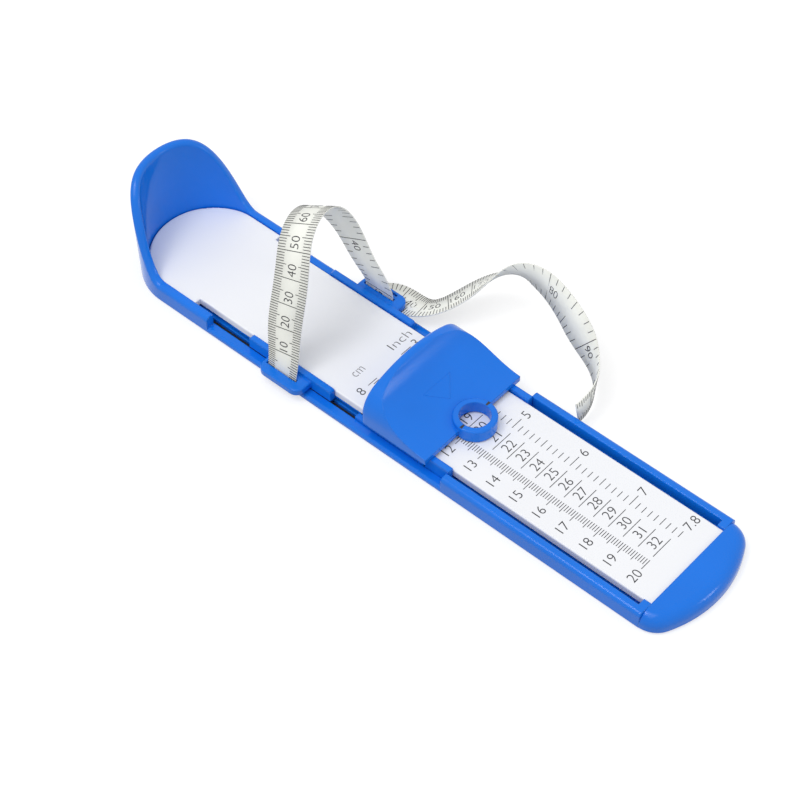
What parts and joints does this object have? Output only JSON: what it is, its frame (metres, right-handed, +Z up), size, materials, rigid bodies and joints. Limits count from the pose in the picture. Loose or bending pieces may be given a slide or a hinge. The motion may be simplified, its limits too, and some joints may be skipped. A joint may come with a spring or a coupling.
{
  "type": "foot measuring device",
  "caption": "Narrow tray with a heel cup and a scale plate, a toe slider read through a ring, and a sliding carriage with a girth tape that arches over the foot.",
  "frame": {"origin": "on the underside, in the middle plane, straight below the heel cup's inner wall, where a foot's length starts", "axes": "+X from the heel to the toes, +Y to the side where the tape's free end lies, +Z up"},
  "size_m": [0.2589, 0.091, 0.0595],
  "materials": {
    "blue_plastic": "smooth injection-moulded blue plastic, softly glossy",
    "white_plastic": "smooth white plastic with dark grey printing",
    "tape_cloth": "thin coated tape, cream, with dark printing",
    "screw_steel": "plain steel"
  },
  "bodies": {
    "base": {"base_tray": "blue_plastic", "scale_plate": "white_plastic", "end_cap": "blue_plastic", "cap_screws": "screw_steel"},
    "toe_slider": {"toe_hood": "blue_plastic", "slider_saddle": "blue_plastic"},
    "carriage": {"tape_carriage": "blue_plastic", "girth_tape": "tape_cloth", "tape_anchor_pin": "screw_steel"}
  },
  "joints": [
    {"name": "toe_slide", "type": "slide", "parent": "base", "child": "toe_slider", "axis": [1, 0, 0], "range_m": [-0.011, 0.0803]},
    {"name": "carriage_slide", "type": "slide", "parent": "base", "child": "carriage", "axis": [1, 0, 0], "range_m": [-0.0263, 0]}
  ]
}
